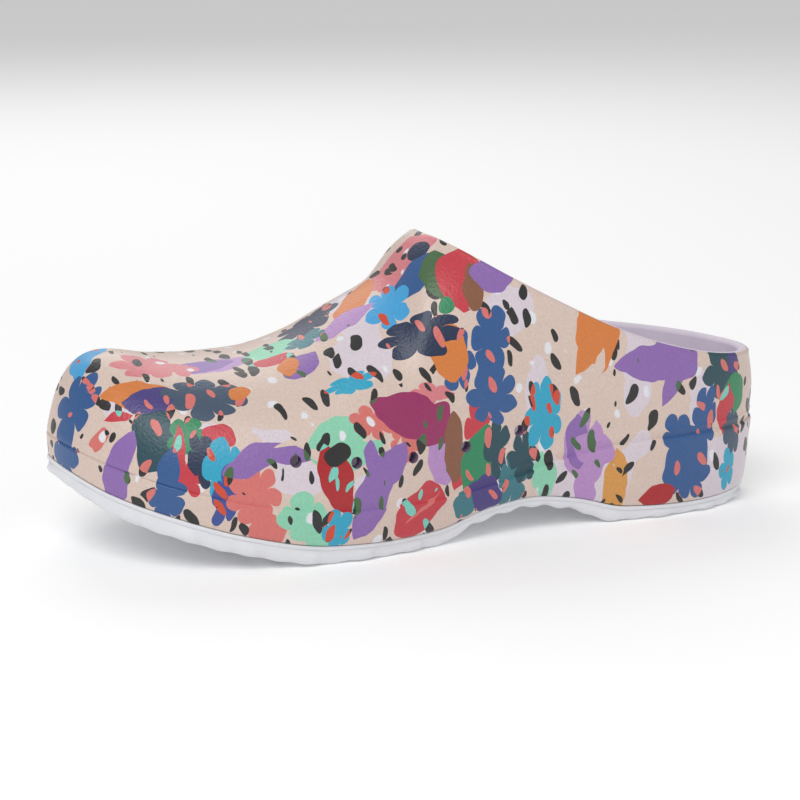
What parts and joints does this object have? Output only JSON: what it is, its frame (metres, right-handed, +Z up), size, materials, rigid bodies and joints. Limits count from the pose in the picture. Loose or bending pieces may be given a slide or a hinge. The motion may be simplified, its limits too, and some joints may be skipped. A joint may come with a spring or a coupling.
{
  "type": "moulded slip-on clog",
  "caption": "Open-backed slip-on clog for the left foot: moulded foam shell with vents and a raised throat, rubber outsole and a loose lift-out footbed.",
  "frame": {"origin": "on the ground, under the middle of the clog's bounding box", "axes": "+X towards the heel, -Y towards the outer side of the foot, +Z up"},
  "size_m": [0.274, 0.1082, 0.1094],
  "materials": {
    "printed_foam": "cream moulded foam with a multicolour flower and leaf print, satin",
    "outsole_rubber": "white moulded rubber, matt",
    "footbed_foam": "pale moulded foam",
    "footbed_textile": "brushed knit textile"
  },
  "bodies": {
    "clog": {"upper_shell": "printed_foam", "outsole": "outsole_rubber"},
    "footbed": {"footbed_foam": "footbed_foam", "footbed_cover": "footbed_textile"}
  },
  "joints": [
    {"name": "footbed_lift", "type": "hinge", "parent": "clog", "child": "footbed", "pos_m": [-0.1306, 0, 0.0449], "axis": [0, -1, 0], "range_deg": [0, 8]}
  ]
}
